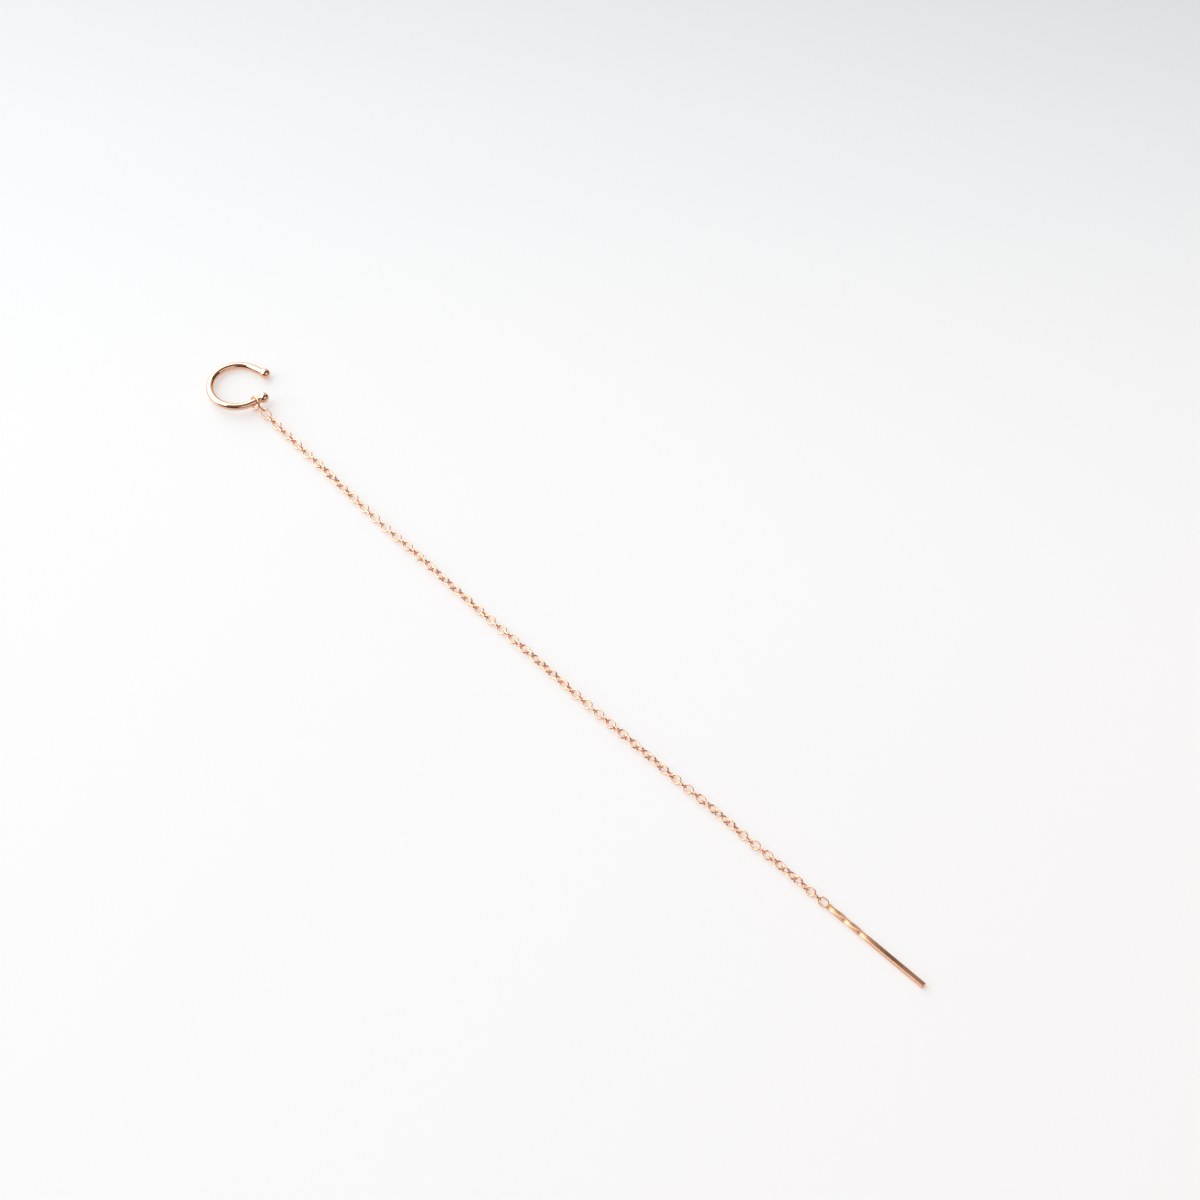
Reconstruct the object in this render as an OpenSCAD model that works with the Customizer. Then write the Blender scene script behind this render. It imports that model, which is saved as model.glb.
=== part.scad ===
// Threader earring, lying on a flat surface.
// An open ear cuff carries a jump ring. A fine cable chain runs from the ring
// to a square threader bar. Lengths are millimetres, +Z is up, and the origin is
// the middle of the whole earring's footprint, on the surface that it lies on.

/* [Ear cuff] */
// Outer diameter of the open hoop
cuff_d = 11.4; // [11.1:0.1:11.8]
// Thickness of the round hoop wire
cuff_wire = 1.3; // [1.1:0.05:1.3]
// Diameter of the ball on each end of the wire
ball_d = 1.9; // [1.5:0.05:2]
// Half of the angle that the bent wire leaves open
cuff_open = 58.5; // [54:0.5:62]
// Straight length from the bend to the middle of each ball
cuff_straight = 2.6; // [2.2:0.05:3]
// How far the cuff leans up on the chain's side, in degrees
cuff_lean = 5; // [4:0.2:6]
// Direction of the mouth, in degrees from the chain's direction
cuff_mouth_az = 46.7; // [40:0.1:52]

/* [Jump ring] */
// Diameter of the jump ring, measured to the middle of its wire
ring_d = 2.44; // [2.4:0.02:2.5]
// Thickness of the jump ring's wire
ring_wire = 0.35; // [0.3:0.01:0.36]

/* [Chain] */
// Number of links, with the long second one
link_count = 99; // [20:1:99]
// Outer length of a link
link_l = 2.208; // [2.16:0.004:2.22]
// Outer width of a link
link_w = 1.58; // [1.54:0.01:1.62]
// Thickness of a link's wire
link_wire = 0.32; // [0.28:0.01:0.32]
// Outer length of the second link, which is a longer one
long_link_l = 2.56; // [2.5:0.02:2.6]
// Outer width of the second link
long_link_w = 1.68; // [1.64:0.01:1.74]
// Thickness of the second link's wire
long_link_wire = 0.33; // [0.28:0.01:0.33]
// Room between two links that hold each other
link_slack = 0.12; // [0.1:0.01:0.2]

/* [Threader bar] */
// Length of the bar, without its loop
bar_l = 22; // [18:0.2:26]
// Width of the square bar
bar_w = 0.93; // [0.85:0.01:1]
// Radius of the bar's long edges
bar_edge = 0.16; // [0.1:0.01:0.25]
// Length of the twisted stretch, next to the chain
twist_l = 9.3; // [6:0.1:14]
// How far the twisted stretch turns, in degrees
twist_turn = 240; // [90:5:540]
// Length of the loop on the bar's upper end
loop_l = 2.4; // [2.3:0.02:2.5]

/* [Hidden] */
rose_gold = [0.90, 0.66, 0.52];

// Cuff: where its centre is, the radius to the middle of its wire, and where its far ball is
cuff_x = 0.1;
cuff_y = -0.19;
cuff_r = (cuff_d - cuff_wire) / 2;
cuff_lean_az = -29;
bend_lap = 0.4;
far_ball_az = cuff_mouth_az + cuff_open - atan2(cuff_straight, cuff_r);
far_ball_y = cuff_y + norm([cuff_r, cuff_straight]) * sin(far_ball_az);
cuff_z = cuff_wire / 2 + cuff_r * sin(cuff_lean);

// Jump ring: its middle, and the axis that it is wound around, as turn and tip
ring_x = 5.39;
ring_y = -0.575;
ring_turn = 258.9;
ring_tip = 68.6;
ring_r = ring_d / 2;
ring_z = ring_r * sin(ring_tip) + ring_wire / 2;

// First link, which hangs down from the ring to the long second link
hook_x = 6.905;
hook_y = -0.61;
hook_z = 1.447;
hook_turn = 28.4;
hook_dip = 41.6;
hook_roll = 128.6;
long_link_x = 8.2;
long_link_lift = 0.09;
long_link_dip = 7.6;

// Distance from one link to the next, and from the long link to the third
link_pitch = link_l - 2 * link_wire - link_slack;
long_pitch = (long_link_l + link_l) / 2 - link_wire - long_link_wire - link_slack;

// Way of the chain over the surface: distance along it, and sideways
route = [
    [5, -0.60], [8.2, -0.52], [12, -0.75], [17, -0.94], [22, -1.07], [27, -1.31],
    [32, -1.55], [37, -1.75], [42, -1.82], [52, -1.80], [57, -1.92], [67, -1.92],
    [77, -1.88], [87, -1.87], [96, -1.90], [105, -1.75], [114, -1.56], [119, -1.43],
    [124, -1.20], [128, -1.13], [133, -1.14], [137, -1.00], [142, -0.84], [146, -0.78],
    [152, -0.64], [175, -0.10]
];
route_ease = 2.5;

// How far the chain has rolled about its own length: link number, and degrees
roll_marks = [
    [0, 27], [4, 38], [8, 36], [14, -20], [18, -56], [25, -64], [35, -109], [44, -152],
    [50, -190], [61, -246], [70, -287], [76, -330], [82, -377], [88, -424], [94, -470],
    [99, -518]
];

// Bar: it rests on its tip and on the last corner of the twist, so it dips a little to the tip
bar_turn = 1.6;
bar_corner_r = (bar_w / 2 - bar_edge) * sqrt(2) + bar_edge;
last_corner = twist_l * (1 - 45 / twist_turn);
bar_dip = atan((bar_corner_r - bar_w / 2) / (bar_l - last_corner));
bar_start_z = bar_w / 2 + bar_l * sin(bar_dip);
turn_step = 10;
joint_lap = 0.04;

// Loop soldered to the bar's upper end
solder = 0.16;
loop_dip = 2;
loop_x = link_x(link_count) + (loop_l - link_l) / 2;
loop_z = bar_start_z + loop_l / 2 * sin(loop_dip);
bar_x = loop_x + loop_l / 2 * cos(loop_dip) - solder;
bar_y = way_y(bar_x);

// Middle of the footprint, from the cuff's far side to the tip of the bar
mid_x = (bar_x + bar_l * cos(bar_turn) + cuff_x - cuff_d / 2) / 2;
mid_y = (far_ball_y + ball_d / 2 + cuff_y - cuff_d / 2) / 2;

function way_y(x) =
    (lookup(x - route_ease, route) + 2 * lookup(x, route) + lookup(x + route_ease, route)) / 4;
function way_turn(x) = atan2(way_y(x + 1) - way_y(x - 1), 2);

function is_long(i) = i == 1;
function link_x(i) =
    i == 0 ? hook_x : is_long(i) ? long_link_x : long_link_x + long_pitch + (i - 2) * link_pitch;
function link_roll(i) = i == 0 ? hook_roll : lookup(i, roll_marks) + (i % 2 == 0 ? 90 : 0);
function rest_z(w, wire, roll) = (w - wire) / 2 * max(abs(sin(roll)), abs(cos(roll))) + wire / 2;
function link_z(i) =
    i == 0 ? hook_z :
    is_long(i) ? rest_z(long_link_w, long_link_wire, link_roll(i)) + long_link_lift :
    rest_z(link_w, link_wire, link_roll(i));
function link_turn(i) = i == 0 ? hook_turn : way_turn(link_x(i));
function link_dip(i) = i == 0 ? hook_dip : is_long(i) ? long_link_dip : 0;

// Oval of round wire around the origin, long along X
module oval_link(length, width, wire) {
    bend_r = (width - wire) / 2;
    side_l = length - width;
    for (end = [-1, 1])
        translate([end * side_l / 2, 0, 0])
            rotate([0, 0, -90 * end])
                rotate_extrude(angle = 180, $fn = 48)
                    translate([bend_r, 0])
                        circle(d = wire, $fn = 24);
    for (side = [-1, 1])
        translate([0, side * bend_r, 0])
            rotate([0, 90, 0])
                cylinder(d = wire, h = side_l, center = true, $fn = 24);
}

// Half of the mouth: the straight end of the wire and its ball
module cuff_end(side) {
    rotate([0, 0, side * cuff_open])
        translate([cuff_r, 0, 0])
            rotate([side * 90, 0, 0]) {
                cylinder(d = cuff_wire, h = cuff_straight, $fn = 64);
                translate([0, 0, cuff_straight])
                    sphere(d = ball_d, $fn = 64);
            }
}

module ear_cuff() {
    color(rose_gold)
        translate([cuff_x, cuff_y, cuff_z])
            rotate([0, 0, cuff_lean_az])
                rotate([0, -cuff_lean, 0])
                    rotate([0, 0, cuff_mouth_az - cuff_lean_az]) {
                        rotate([0, 0, cuff_open - bend_lap])
                            rotate_extrude(angle = 360 - 2 * (cuff_open - bend_lap), $fn = 128)
                                translate([cuff_r, 0])
                                    circle(d = cuff_wire, $fn = 64);
                        for (side = [-1, 1])
                            cuff_end(side);
                    }
}

module jump_ring() {
    color(rose_gold)
        translate([ring_x, ring_y, ring_z])
            rotate([0, ring_tip, ring_turn])
                rotate_extrude($fn = 64)
                    translate([ring_r, 0])
                        circle(d = ring_wire, $fn = 32);
}

module chain() {
    color(rose_gold)
        for (i = [0 : link_count - 1])
            translate([link_x(i), i == 0 ? hook_y : way_y(link_x(i)), link_z(i)])
                rotate([link_roll(i), link_dip(i), link_turn(i)])
                    if (is_long(i))
                        oval_link(long_link_l, long_link_w, long_link_wire);
                    else
                        oval_link(link_l, link_w, link_wire);
}

// Square with round corners
module bar_section(corner_fn) {
    inner = bar_w - 2 * bar_edge;
    square([bar_w, inner], center = true);
    square([inner, bar_w], center = true);
    for (x = [-1, 1], y = [-1, 1])
        translate([x * inner / 2, y * inner / 2])
            circle(r = bar_edge, $fn = corner_fn);
}

module threader_bar() {
    color(rose_gold) {
        translate([bar_x, bar_y, bar_start_z])
            rotate([0, 90 + bar_dip, bar_turn]) {
                rotate([0, 0, twist_turn])
                    linear_extrude(twist_l, twist = twist_turn, slices = round(twist_turn / turn_step))
                        bar_section(12);
                translate([0, 0, twist_l - joint_lap])
                    linear_extrude(bar_l - twist_l + joint_lap)
                        bar_section(24);
            }
        translate([loop_x, way_y(loop_x), loop_z])
            rotate([link_roll(link_count), loop_dip, bar_turn])
                oval_link(loop_l, link_w, link_wire);
    }
}

module in_place() {
    translate([-mid_x, -mid_y, 0])
        children();
}

in_place() ear_cuff();
in_place() jump_ring();
in_place() chain();
in_place() threader_bar();
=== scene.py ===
"""Looks of a rose gold threader earring that lies on a pale surface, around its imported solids."""

import math

import bpy
import numpy as np
from mathutils import Matrix, Vector


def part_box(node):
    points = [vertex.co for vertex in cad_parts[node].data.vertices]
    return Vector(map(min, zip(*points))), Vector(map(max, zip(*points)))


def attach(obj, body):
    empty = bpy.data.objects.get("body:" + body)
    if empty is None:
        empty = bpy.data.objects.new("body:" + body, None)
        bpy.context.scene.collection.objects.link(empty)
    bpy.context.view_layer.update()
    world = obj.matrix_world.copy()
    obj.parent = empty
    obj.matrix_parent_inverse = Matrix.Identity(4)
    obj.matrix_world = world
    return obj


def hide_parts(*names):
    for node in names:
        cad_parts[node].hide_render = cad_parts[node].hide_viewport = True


MM = 0.001

# Ear cuff, as in the part's source, in millimetres and degrees
CUFF_D = 11.4
CUFF_WIRE = 1.3
BALL_D = 1.9
CUFF_OPEN = 58.5
CUFF_STRAIGHT = 2.6
CUFF_LEAN = 5.0
CUFF_LEAN_AZ = -29.0
CUFF_MOUTH_AZ = 46.7

# Mesh of the cuff: the exponent sets how tightly a ball runs into the wire
CUFF_SIDES = 48
CUFF_TURN_STEPS = 180
CUFF_SPACING = 0.08
BALL_FIRST = 88.0
BALL_LAST = -72.0
BALL_STEPS = 41
FILLET_EXPONENT = 14

# Threader bar
BAR_L = 22.0
BAR_W = 0.93
BAR_EDGE = 0.16
BAR_TURN = 1.6
BAR_DIP = 0.5
TWIST_L = 9.3
TWIST_TURN = 240.0
TWIST_EASE = 3.0

# Mesh of the bar, with the radius of its soft cut ends
BAR_CORNER_STEPS = 7
BAR_SPACING = 0.1
BAR_END_R = 0.07
BAR_END_STEP = 15.0
TIP_SLACK = 0.01

# Wires of the ring, of the long link, and of the other links and the bar's loop
RING_WIRE = 0.35
LINK_WIRE = 0.32
LINK_L = 2.208
LONG_LINK_WIRE = 0.33
LONG_LINK_L = 2.56
RING_STEPS = {"bend_steps": 48, "side_steps": 0, "sides": 20}
LINK_STEPS = {"bend_steps": 22, "side_steps": 4, "sides": 14}

# Camera: the surface point under the middle of the frame, and where it looks from
LOOK_AT = (-4.89, 15.05, 0.0)
CAMERA_AZ = 46.4
CAMERA_EL = 55.0
CAMERA_RANGE = 879.4
CAMERA_LENS = 150.0
SENSOR_WIDTH = 36.0

# Surface, and its glow at the frame's middle and this far behind it, a little to the right
FLOOR_HALF = 1500.0
FLOOR_GLOW = 0.535
FLOOR_GLOW_FAR = 0.325
FADE_LENGTH = 160.0
FADE_TURN = -12.0


def camera_back():
    az, el = math.radians(CAMERA_AZ), math.radians(CAMERA_EL)
    return Vector((math.sin(az) * math.cos(el), -math.cos(az) * math.cos(el), math.sin(el)))


def seen_from_camera(right, away, up):
    """A place in metres, given to the right, away and up from the frame's middle, in millimetres."""
    az = math.radians(CAMERA_AZ)
    x = LOOK_AT[0] + right * math.cos(az) - away * math.sin(az)
    y = LOOK_AT[1] + right * math.sin(az) + away * math.cos(az)
    return Vector((x, y, up)) * MM


def add_camera():
    data = bpy.data.cameras.new("camera")
    data.lens = CAMERA_LENS
    data.sensor_width = SENSOR_WIDTH
    data.clip_start = 0.05
    data.clip_end = 20.0
    camera = bpy.data.objects.new("camera", data)
    bpy.context.scene.collection.objects.link(camera)
    back = camera_back()
    camera.location = Vector(LOOK_AT) * MM + back * CAMERA_RANGE * MM
    camera.rotation_euler = (-back).to_track_quat("-Z", "Y").to_euler()
    bpy.context.scene.camera = camera


# Meshes

def circle(radius, sides):
    a = np.arange(sides) * 2 * math.pi / sides
    return np.stack([radius * np.cos(a), radius * np.sin(a)], -1)


def rounded_square(width, edge, steps):
    """Outline of a square with round corners, steps points to a corner."""
    inner = width / 2 - edge
    corners = [(inner, inner), (-inner, inner), (-inner, -inner), (inner, -inner)]
    points = []
    for k, (x, y) in enumerate(corners):
        for i in range(steps):
            a = math.radians(90 * (k + i / (steps - 1)))
            points.append((x + edge * math.cos(a), y + edge * math.sin(a)))
    return np.array(points)


def sweep(path, across, over, outline, grow, closed):
    """Vertices and faces of an outline swept along a path. An open one gets a pole at each end."""
    n, m = len(path), len(outline)
    spread = outline[None, :, :1] * across[:, None] + outline[None, :, 1:] * over[:, None]
    verts = (path[:, None] + grow[:, None, None] * spread).reshape(-1, 3)
    rings = n if closed else n - 1
    i, j = np.meshgrid(np.arange(rings), np.arange(m), indexing="ij")
    after, beside = (i + 1) % n, (j + 1) % m
    quads = np.stack([i * m + j, after * m + j, after * m + beside, i * m + beside], -1)
    faces = quads.reshape(-1, 4).tolist()
    if not closed:
        first, last = len(verts), len(verts) + 1
        verts = np.vstack([verts, path[:1], path[-1:]])
        faces += [[first, k, (k + 1) % m] for k in range(m)]
        start = (n - 1) * m
        faces += [[last, start + (k + 1) % m, start + k] for k in range(m)]
    return verts, faces


def joined(parts):
    verts, faces, offset = [], [], 0
    for part_verts, part_faces in parts:
        verts.append(part_verts)
        faces += [[index + offset for index in face] for face in part_faces]
        offset += len(part_verts)
    return np.vstack(verts), faces


def make_piece(name, parts, material, node):
    """One smooth piece from its parts, which stands for a node. Places are in millimetres."""
    verts, faces = joined(parts)
    mesh = bpy.data.meshes.new(name)
    mesh.from_pydata((verts * MM).tolist(), [], faces)
    mesh.update()
    mesh.polygons.foreach_set("use_smooth", [True] * len(mesh.polygons))
    mesh.materials.append(material)
    piece = bpy.data.objects.new(name, mesh)
    bpy.context.scene.collection.objects.link(piece)
    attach(piece, "root")
    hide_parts(node)


def node_points(node):
    """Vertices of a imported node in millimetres."""
    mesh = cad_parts[node].data
    points = np.zeros(len(mesh.vertices) * 3)
    mesh.vertices.foreach_get("co", points)
    return points.reshape(-1, 3) / MM


def loose_parts(node):
    """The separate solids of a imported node, each as its vertices in millimetres."""
    points = node_points(node)
    keys = np.round(points, 4)
    _, same = np.unique(keys, axis=0, return_inverse=True)
    same = same.ravel()
    root = np.arange(same.max() + 1)

    def find(k):
        while root[k] != k:
            root[k] = root[root[k]]
            k = root[k]
        return k

    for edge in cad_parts[node].data.edges:
        a, b = find(same[edge.vertices[0]]), find(same[edge.vertices[1]])
        root[max(a, b)] = min(a, b)
    owner = np.array([find(k) for k in same])
    return [points[owner == k] for k in np.unique(owner)]


def lie_of(points):
    """Middle, axes from long to thin, and lengths along them, of a flat ring or link."""
    _, _, axes = np.linalg.svd(points - points.mean(0), full_matrices=False)
    if axes[0][0] < 0:
        axes[0] = -axes[0]
    axes[2] = np.cross(axes[0], axes[1])
    along = points @ axes.T
    middle = ((along.min(0) + along.max(0)) / 2) @ axes
    return middle, axes, np.ptp(along, axis=0)


def wire_loop(points, wire, bend_steps, side_steps, sides):
    """A fine link or ring in the place of a packed one."""
    middle, axes, lengths = lie_of(points)
    bend_r = (lengths[1] - wire) / 2
    half_side = max(0.0, (lengths[0] - lengths[1]) / 2)
    spots, outward = [], []
    for end in (1, -1):
        for k in range(bend_steps):
            a = math.pi * (k / bend_steps - 0.5)
            spots.append((end * (half_side + bend_r * math.cos(a)), end * bend_r * math.sin(a)))
            outward.append((end * math.cos(a), end * math.sin(a)))
        for k in range(side_steps):
            spots.append((end * half_side * (1 - 2 * k / side_steps), end * bend_r))
            outward.append((0.0, end))
    flat = axes[:2]
    path = middle + np.array(spots) @ flat
    across = np.array(outward) @ flat
    over = np.repeat(axes[2][None], len(path), axis=0)
    return sweep(path, across, over, circle(wire / 2, sides), np.ones(len(path)), True)


# Parts of the earring

def cuff_stations():
    """Steps from the ball's pole to the bend: distance past the bend's end, and radius there."""
    wire_r, ball_r = CUFF_WIRE / 2, BALL_D / 2
    ball_steps = np.radians(np.linspace(BALL_FIRST, BALL_LAST, BALL_STEPS))
    from_ball = list(ball_r * np.sin(ball_steps))
    while from_ball[-1] - CUFF_SPACING > -CUFF_STRAIGHT:
        from_ball.append(from_ball[-1] - CUFF_SPACING)
    stations = []
    for t in from_ball:
        radius = math.sqrt(max(0.0, ball_r**2 - t**2))
        if t < 0:
            blend = radius**FILLET_EXPONENT + wire_r**FILLET_EXPONENT
            radius = blend ** (1 / FILLET_EXPONENT)
        stations.append((CUFF_STRAIGHT + t, radius))
    return stations


def cuff_part():
    """The open hoop with its balls, as one swept wire."""
    bend_r = (CUFF_D - CUFF_WIRE) / 2
    end = math.radians(CUFF_OPEN)
    tangent = np.array([math.sin(end), -math.cos(end)])
    corner = bend_r * np.array([math.cos(end), math.sin(end)])
    half = [(corner + s * tangent, corner / bend_r, r) for s, r in cuff_stations()]
    bend = []
    for k in range(CUFF_TURN_STEPS + 1):
        a = end + (2 * math.pi - 2 * end) * k / CUFF_TURN_STEPS
        way = np.array([math.cos(a), math.sin(a)])
        bend.append((bend_r * way, way, CUFF_WIRE / 2))
    other = [(p * (1, -1), w * (1, -1), r) for p, w, r in reversed(half)]
    spots, outward, radii = [], [], []
    for spot, way, radius in half + bend + other:
        spots.append((*spot, 0.0))
        outward.append((*way, 0.0))
        radii.append(radius)
    lay = Matrix.Rotation(math.radians(CUFF_LEAN_AZ), 3, "Z")
    lay @= Matrix.Rotation(math.radians(-CUFF_LEAN), 3, "Y")
    lay @= Matrix.Rotation(math.radians(CUFF_MOUTH_AZ - CUFF_LEAN_AZ), 3, "Z")
    lay = np.array(lay).T
    low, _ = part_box("ear_cuff")
    middle_z = CUFF_WIRE / 2 + bend_r * math.sin(math.radians(CUFF_LEAN))
    centre = np.array([low.x / MM + CUFF_D / 2, low.y / MM + CUFF_D / 2, middle_z])
    path = centre + np.array(spots) @ lay
    across = np.array(outward) @ lay
    over = np.repeat(np.array([[0.0, 0.0, 1.0]]) @ lay, len(path), axis=0)
    return sweep(path, across, over, circle(1.0, CUFF_SIDES), np.array(radii), False)


def chain_parts():
    """All links of the chain, each in the place of its packed one."""
    parts = []
    for link in loose_parts("chain"):
        is_long = lie_of(link)[2][0] > (LINK_L + LONG_LINK_L) / 2
        wire = LONG_LINK_WIRE if is_long else LINK_WIRE
        parts.append(wire_loop(link, wire, **LINK_STEPS))
    return parts


def eased(length, ease):
    """The length, or zero when negative, with a smooth bend between the two."""
    return (length + math.sqrt(length**2 + (ease / 4) ** 2)) / 2


def bar_stations():
    """Steps along the bar: distance from its upper end, and size against the full section."""
    ends = []
    for a in np.radians(np.arange(0.0, 90.0, BAR_END_STEP)):
        size = 1 - BAR_END_R * (1 - math.sin(a)) / (BAR_W / 2)
        ends.append((BAR_END_R * (1 - math.cos(a)), size))
    stations = list(ends)
    x = BAR_END_R
    while x < BAR_L - BAR_END_R:
        stations.append((x, 1.0))
        x += BAR_SPACING
    return stations + [(BAR_L - x, size) for x, size in reversed(ends)]


def bar_part():
    """The square bar: its twisted stretch, its straight one and its soft cut ends."""
    points = node_points("threader_bar")
    turn = math.radians(BAR_TURN)
    dip = math.radians(BAR_DIP)
    way = np.array([math.cos(turn) * math.cos(dip), math.sin(turn) * math.cos(dip), -math.sin(dip)])
    side = np.array([-math.sin(turn), math.cos(turn), 0.0])
    up = np.cross(way, side)
    reach = points @ way
    tip = points[reach > reach.max() - TIP_SLACK]
    tip_middle = (tip.min(0) + tip.max(0)) / 2
    path, across, over, grow = [], [], [], []
    for x, size in bar_stations():
        a = math.radians(TWIST_TURN / TWIST_L * eased(TWIST_L - x, TWIST_EASE))
        path.append(tip_middle - way * (BAR_L - x))
        across.append(side * math.cos(a) + up * math.sin(a))
        over.append(up * math.cos(a) - side * math.sin(a))
        grow.append(size)
    outline = rounded_square(BAR_W, BAR_EDGE, BAR_CORNER_STEPS)
    return sweep(np.array(path), np.array(across), np.array(over), outline, np.array(grow), False)


def loop_points():
    """Vertices of the loop soldered to the bar's upper end."""
    points = node_points("threader_bar")
    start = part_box("threader_bar")[1].x / MM - BAR_L * math.cos(math.radians(BAR_TURN))
    return points[points[:, 0] < start]


# Materials

def add_ramp(nodes, stops):
    """Colour ramp with a colour at each position."""
    ramp = nodes.new("ShaderNodeValToRGB")
    elements = ramp.color_ramp.elements
    for k, (position, colour) in enumerate(stops):
        element = elements[k] if k < 2 else elements.new(position)
        element.position = position
        element.color = (*colour, 1)
    return ramp


def rose_gold(name, base, worn, roughness, grain):
    """Polished rose gold with faint clouds in its colour and shine and fine polishing marks."""
    material = bpy.data.materials.new(name)
    material.use_nodes = True
    nodes, links = material.node_tree.nodes, material.node_tree.links
    nodes.clear()
    out = nodes.new("ShaderNodeOutputMaterial")
    metal = nodes.new("ShaderNodeBsdfPrincipled")
    metal.inputs["Metallic"].default_value = 1.0
    links.new(metal.outputs["BSDF"], out.inputs["Surface"])
    place = nodes.new("ShaderNodeTexCoord")

    clouds = nodes.new("ShaderNodeTexNoise")
    clouds.inputs["Scale"].default_value = 420.0
    clouds.inputs["Detail"].default_value = 3.0
    links.new(place.outputs["Object"], clouds.inputs["Vector"])
    tone = add_ramp(nodes, [(0.35, worn), (0.65, base)])
    links.new(clouds.outputs["Fac"], tone.inputs["Fac"])
    links.new(tone.outputs["Color"], metal.inputs["Base Color"])

    marks = nodes.new("ShaderNodeTexNoise")
    marks.inputs["Scale"].default_value = grain
    marks.inputs["Detail"].default_value = 4.0
    links.new(place.outputs["Object"], marks.inputs["Vector"])
    shine = nodes.new("ShaderNodeMapRange")
    shine.inputs["To Min"].default_value = roughness * 0.7
    shine.inputs["To Max"].default_value = roughness * 1.3
    links.new(marks.outputs["Fac"], shine.inputs["Value"])
    links.new(shine.outputs["Result"], metal.inputs["Roughness"])

    bump = nodes.new("ShaderNodeBump")
    bump.inputs["Strength"].default_value = 0.05
    bump.inputs["Distance"].default_value = 0.00002
    links.new(marks.outputs["Fac"], bump.inputs["Height"])
    links.new(bump.outputs["Normal"], metal.inputs["Normal"])
    return material


def dull_twist_with_painted_reflection(material, start_x, end_x):
    """Makes the bar duller and redder along its twist, and a little so near its tip. The red is a
    painted warm reflection, screened into the metal's colour.
    """
    nodes, links = material.node_tree.nodes, material.node_tree.links
    metal = nodes["Principled BSDF"]
    split = nodes.new("ShaderNodeSeparateXYZ")
    links.new(nodes["Texture Coordinate"].outputs["Object"], split.inputs["Vector"])
    along = nodes.new("ShaderNodeMapRange")
    along.inputs["From Min"].default_value = start_x * MM
    along.inputs["From Max"].default_value = end_x * MM
    links.new(split.outputs["X"], along.inputs["Value"])
    share = add_ramp(nodes, [(0.39, (1, 1, 1)), (0.65, (0, 0, 0)), (0.82, (0.55, 0.55, 0.55))])
    links.new(along.outputs["Result"], share.inputs["Fac"])

    dull = nodes.new("ShaderNodeMath")
    dull.operation = "MULTIPLY_ADD"
    dull.inputs[1].default_value = 0.17
    links.new(share.outputs["Color"], dull.inputs[0])
    links.new(metal.inputs["Roughness"].links[0].from_socket, dull.inputs[2])
    links.new(dull.outputs["Value"], metal.inputs["Roughness"])

    # painted reflection: a warm red screened into the metal's colour along the twist and a little
    # near the tip
    depth = nodes.new("ShaderNodeMath")
    depth.operation = "MULTIPLY"
    depth.inputs[1].default_value = 0.25
    links.new(share.outputs["Color"], depth.inputs[0])
    painted_reflection = nodes.new("ShaderNodeMix")
    painted_reflection.data_type = "RGBA"
    painted_reflection.blend_type = "SCREEN"
    painted_reflection.inputs["B"].default_value = (0.70, 0.08, 0.0, 1)
    links.new(depth.outputs["Value"], painted_reflection.inputs["Factor"])
    links.new(metal.inputs["Base Color"].links[0].from_socket, painted_reflection.inputs["A"])
    links.new(painted_reflection.outputs["Result"], metal.inputs["Base Color"])


def floor_material():
    """Plain pale surface with a soft glow of its own, which fades behind the earring.

    The glow is warm and the surface itself is cool. Together they are neutral in the open, and
    a shadow keeps only the warm glow, as in the photograph.
    """
    material = bpy.data.materials.new("pale_surface")
    material.use_nodes = True
    surface = material.node_tree.nodes["Principled BSDF"]
    surface.inputs["Base Color"].default_value = (0.32, 0.42, 0.46, 1)
    surface.inputs["Roughness"].default_value = 0.7
    surface.inputs["Specular IOR Level"].default_value = 0.2
    surface.inputs["Emission Color"].default_value = (1.142, 0.959, 0.890, 1)
    nodes, links = material.node_tree.nodes, material.node_tree.links
    place = nodes.new("ShaderNodeTexCoord")
    lay = nodes.new("ShaderNodeMapping")
    lay.vector_type = "TEXTURE"
    lay.inputs["Location"].default_value = Vector(LOOK_AT) * MM
    lay.inputs["Rotation"].default_value = (0, 0, math.radians(CAMERA_AZ + 90 + FADE_TURN))
    lay.inputs["Scale"].default_value = Vector((FADE_LENGTH, FADE_LENGTH, FADE_LENGTH)) * MM
    links.new(place.outputs["Object"], lay.inputs["Vector"])
    fade = nodes.new("ShaderNodeTexGradient")
    fade.gradient_type = "QUADRATIC"
    links.new(lay.outputs["Vector"], fade.inputs["Vector"])
    glow = nodes.new("ShaderNodeMapRange")
    glow.inputs["To Min"].default_value = FLOOR_GLOW
    glow.inputs["To Max"].default_value = FLOOR_GLOW_FAR
    links.new(fade.outputs["Fac"], glow.inputs["Value"])
    links.new(glow.outputs["Result"], surface.inputs["Emission Strength"])
    return material


# Stage and light

def add_floor():
    half = FLOOR_HALF * MM
    mesh = bpy.data.meshes.new("floor")
    corners = [(-half, -half, 0), (half, -half, 0), (half, half, 0), (-half, half, 0)]
    mesh.from_pydata(corners, [], [(0, 1, 2, 3)])
    mesh.materials.append(floor_material())
    floor = bpy.data.objects.new("floor", mesh)
    bpy.context.scene.collection.objects.link(floor)


def add_softbox(name, az, el, distance, width, height, radiance):
    """Soft white panel that faces the frame's middle. Azimuth 0 is straight away from the camera."""
    turn, tip = math.radians(az), math.radians(el)
    data = bpy.data.lights.new(name, "AREA")
    data.shape = "RECTANGLE"
    data.size = width * MM
    data.size_y = height * MM
    data.energy = radiance * math.pi * data.size * data.size_y
    light = bpy.data.objects.new(name, data)
    bpy.context.scene.collection.objects.link(light)
    flat = distance * math.cos(tip)
    place = (flat * math.sin(turn), flat * math.cos(turn), distance * math.sin(tip))
    light.location = seen_from_camera(*place)
    aim = Vector(LOOK_AT) * MM - light.location
    light.rotation_euler = aim.to_track_quat("-Z", "Y").to_euler()


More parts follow.
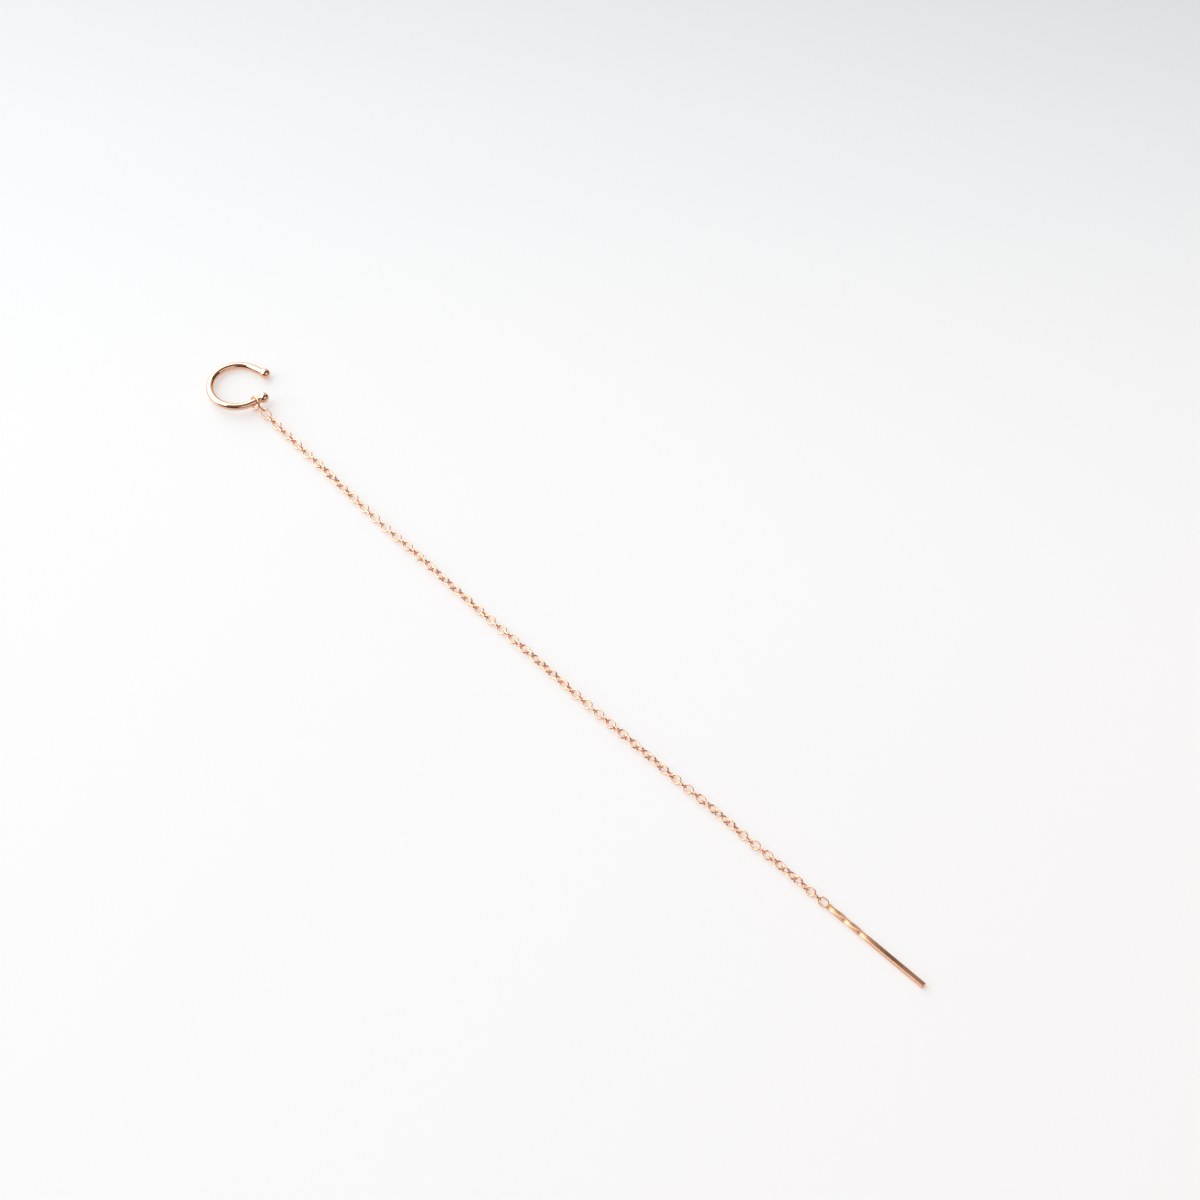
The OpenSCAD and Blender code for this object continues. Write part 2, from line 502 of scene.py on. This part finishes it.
def add_room():
    """Dim warm room around the panels: it makes the brown bands in the polished metal."""
    world = bpy.data.worlds.new("room")
    bpy.context.scene.world = world
    world.use_nodes = True
    nodes, links = world.node_tree.nodes, world.node_tree.links
    place = nodes.new("ShaderNodeTexCoord")
    split = nodes.new("ShaderNodeSeparateXYZ")
    links.new(place.outputs["Generated"], split.inputs["Vector"])
    height = add_ramp(nodes, [(0.4, (0.085, 0.050, 0.040)), (1.0, (0.22, 0.195, 0.185))])
    links.new(split.outputs["Z"], height.inputs["Fac"])
    links.new(height.outputs["Color"], nodes["Background"].inputs["Color"])


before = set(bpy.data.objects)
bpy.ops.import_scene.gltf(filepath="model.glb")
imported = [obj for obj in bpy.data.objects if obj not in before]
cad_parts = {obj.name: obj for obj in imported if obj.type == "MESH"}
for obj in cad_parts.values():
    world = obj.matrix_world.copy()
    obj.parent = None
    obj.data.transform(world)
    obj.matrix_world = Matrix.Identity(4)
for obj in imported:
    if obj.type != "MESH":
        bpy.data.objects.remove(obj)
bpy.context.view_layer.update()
add_camera()
add_floor()
add_softbox("key_panel", az=-62, el=32, distance=1250, width=2600, height=1900, radiance=2.8)
add_softbox("far_panel", az=2, el=25, distance=1100, width=1400, height=900, radiance=0.70)
add_softbox("near_panel", az=136, el=40, distance=1100, width=1400, height=850, radiance=0.78)
add_room()

cuff_metal = rose_gold("cuff_rose_gold", (0.84, 0.525, 0.375), (0.80, 0.485, 0.335), 0.07, 2500.0)
ring_metal = rose_gold("ring_rose_gold", (0.86, 0.50, 0.31), (0.82, 0.46, 0.28), 0.09, 3500.0)
chain_metal = rose_gold("chain_rose_gold", (0.90, 0.53, 0.36), (0.84, 0.47, 0.31), 0.12, 4000.0)
bar_metal = rose_gold("bar_rose_gold", (0.81, 0.49, 0.32), (0.76, 0.445, 0.28), 0.16, 3000.0)
bar_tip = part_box("threader_bar")[1].x / MM
dull_twist_with_painted_reflection(bar_metal, bar_tip - BAR_L, bar_tip)

ring_part = wire_loop(node_points("jump_ring"), RING_WIRE, **RING_STEPS)
loop_part = wire_loop(loop_points(), LINK_WIRE, **LINK_STEPS)
make_piece("cuff", [cuff_part()], cuff_metal, "ear_cuff")
make_piece("ring", [ring_part], ring_metal, "jump_ring")
make_piece("cable_chain", chain_parts(), chain_metal, "chain")
make_piece("bar", [bar_part(), loop_part], bar_metal, "threader_bar")

bpy.context.scene.view_settings.view_transform = "Standard"
